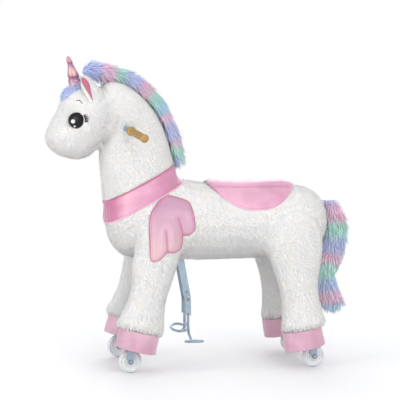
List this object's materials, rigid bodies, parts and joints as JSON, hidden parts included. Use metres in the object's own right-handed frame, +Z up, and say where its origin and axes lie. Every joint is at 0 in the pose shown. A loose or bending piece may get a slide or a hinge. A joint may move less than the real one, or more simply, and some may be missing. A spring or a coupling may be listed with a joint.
{
  "type": "plush ride on animal",
  "caption": "Plush ride-on unicorn on skate wheels, with swinging leg pairs, a steering handlebar, hanging foot rings, padded wings, a collar and a long banded mane and tail.",
  "frame": {"origin": "on the floor, under the middle of the object's bounding box", "axes": "-X is the way the animal looks, -Y is its left side, +Z is up"},
  "size_m": [0.8955, 0.3968, 0.8935],
  "materials": {
    "white_plush": "short pile",
    "long_fur": "long pile in bands of blue, pink, mint and lavender",
    "pink_satin": "satin",
    "horn_foil": "metallic foil",
    "eye_black": "gloss",
    "steel": "light blue-grey paint",
    "dark_steel": "satin",
    "milky_plastic": "milky, slightly see-through",
    "grip_foam": "satin"
  },
  "bodies": {
    "body": {"torso_plush": "white_plush", "neck_plush": "white_plush", "head_plush": "white_plush", "ear_left": "white_plush", "ear_right": "white_plush", "eye_left": "eye_black", "eye_right": "eye_black", "horn": "horn_foil", "mane": "long_fur", "tail": "long_fur", "chest_collar": "pink_satin", "wing_left": "pink_satin", "wing_right": "pink_satin", "saddle": "pink_satin", "spine_beam": "steel", "shoulder_bearing": "steel", "hip_bearing": "steel", "steering_sleeve": "steel", "pedal_bracket": "steel"},
    "front_legs": {"front_cross_shaft": "steel", "front_leg_tube_left": "steel", "front_leg_tube_right": "steel", "front_leg_plush_left": "white_plush", "front_leg_plush_right": "white_plush", "front_hoof_left": "pink_satin", "front_hoof_right": "pink_satin"},
    "front_fork_left": {"front_fork_left": "steel", "front_axle_left": "dark_steel"},
    "front_fork_right": {"front_fork_right": "steel", "front_axle_right": "dark_steel"},
    "front_wheel_left": {"front_wheel_tyre_left": "milky_plastic", "front_wheel_hub_left": "milky_plastic"},
    "front_wheel_right": {"front_wheel_tyre_right": "milky_plastic", "front_wheel_hub_right": "milky_plastic"},
    "rear_legs": {"rear_cross_shaft": "steel", "rear_leg_tube_left": "steel", "rear_leg_tube_right": "steel", "rear_leg_plush_left": "white_plush", "rear_leg_plush_right": "white_plush", "rear_hoof_left": "pink_satin", "rear_hoof_right": "pink_satin", "rear_fork_left": "steel", "rear_fork_right": "steel", "rear_axle_left": "dark_steel", "rear_axle_right": "dark_steel"},
    "rear_wheel_left": {"rear_wheel_tyre_left": "milky_plastic", "rear_wheel_hub_left": "milky_plastic"},
    "rear_wheel_right": {"rear_wheel_tyre_right": "milky_plastic", "rear_wheel_hub_right": "milky_plastic"},
    "steering": {"steering_stem": "steel", "handlebar": "steel", "grip_left": "grip_foam", "grip_right": "grip_foam"},
    "pedal_levers": {"pedal_lever_left": "steel", "pedal_lever_right": "steel", "pedal_pivot_bolt": "dark_steel"},
    "pedal_hanger": {"pedal_hanger_left": "steel", "pedal_hanger_right": "steel", "pedal_joint_bolt": "dark_steel", "pedal_cross_bar": "steel"}
  },
  "joints": [
    {"name": "front_leg_swing", "type": "hinge", "parent": "body", "child": "front_legs", "pos_m": [-0.13, 0, 0.4], "axis": [0, -1, 0], "range_deg": [0, 8]},
    {"name": "rear_leg_swing", "type": "hinge", "parent": "body", "child": "rear_legs", "pos_m": [0.24, 0, 0.4], "axis": [0, 1, 0], "range_deg": [0, 8]},
    {"name": "steering_turn", "type": "hinge", "parent": "body", "child": "steering", "pos_m": [-0.225, 0, 0.69], "axis": [0, 0, 1], "range_deg": [-12, 12]},
    {"name": "front_fork_turn_left", "type": "hinge", "parent": "front_legs", "child": "front_fork_left", "pos_m": [-0.22491, -0.135, 0.033], "axis": [0, 0, 1], "range_deg": [-12, 12]},
    {"name": "front_fork_turn_right", "type": "hinge", "parent": "front_legs", "child": "front_fork_right", "pos_m": [-0.22491, 0.135, 0.033], "axis": [0, 0, 1], "range_deg": [-12, 12]},
    {"name": "front_wheel_roll_left", "type": "hinge", "parent": "front_fork_left", "child": "front_wheel_left", "pos_m": [-0.22491, -0.135, 0.033], "axis": [0, 1, 0], "continuous": true},
    {"name": "front_wheel_roll_right", "type": "hinge", "parent": "front_fork_right", "child": "front_wheel_right", "pos_m": [-0.22491, 0.135, 0.033], "axis": [0, 1, 0], "continuous": true},
    {"name": "rear_wheel_roll_left", "type": "hinge", "parent": "rear_legs", "child": "rear_wheel_left", "pos_m": [0.31001, -0.135, 0.033], "axis": [0, 1, 0], "continuous": true},
    {"name": "rear_wheel_roll_right", "type": "hinge", "parent": "rear_legs", "child": "rear_wheel_right", "pos_m": [0.31001, 0.135, 0.033], "axis": [0, 1, 0], "continuous": true},
    {"name": "pedal_lever_swing", "type": "hinge", "parent": "body", "child": "pedal_levers", "pos_m": [-0.07, 0, 0.358], "axis": [0, -1, 0], "range_deg": [0, 6]},
    {"name": "pedal_hanger_level", "type": "hinge", "parent": "pedal_levers", "child": "pedal_hanger", "pos_m": [-0.04, 0, 0.191], "axis": [0, 1, 0], "range_deg": [0, 6]}
  ],
  "couplings": [
    {"joint": "rear_leg_swing", "follows": "front_leg_swing", "ratio": 1},
    {"joint": "pedal_lever_swing", "follows": "front_leg_swing", "ratio": 0.75},
    {"joint": "pedal_hanger_level", "follows": "front_leg_swing", "ratio": 0.75},
    {"joint": "front_fork_turn_left", "follows": "steering_turn", "ratio": 1},
    {"joint": "front_fork_turn_right", "follows": "steering_turn", "ratio": 1}
  ]
}
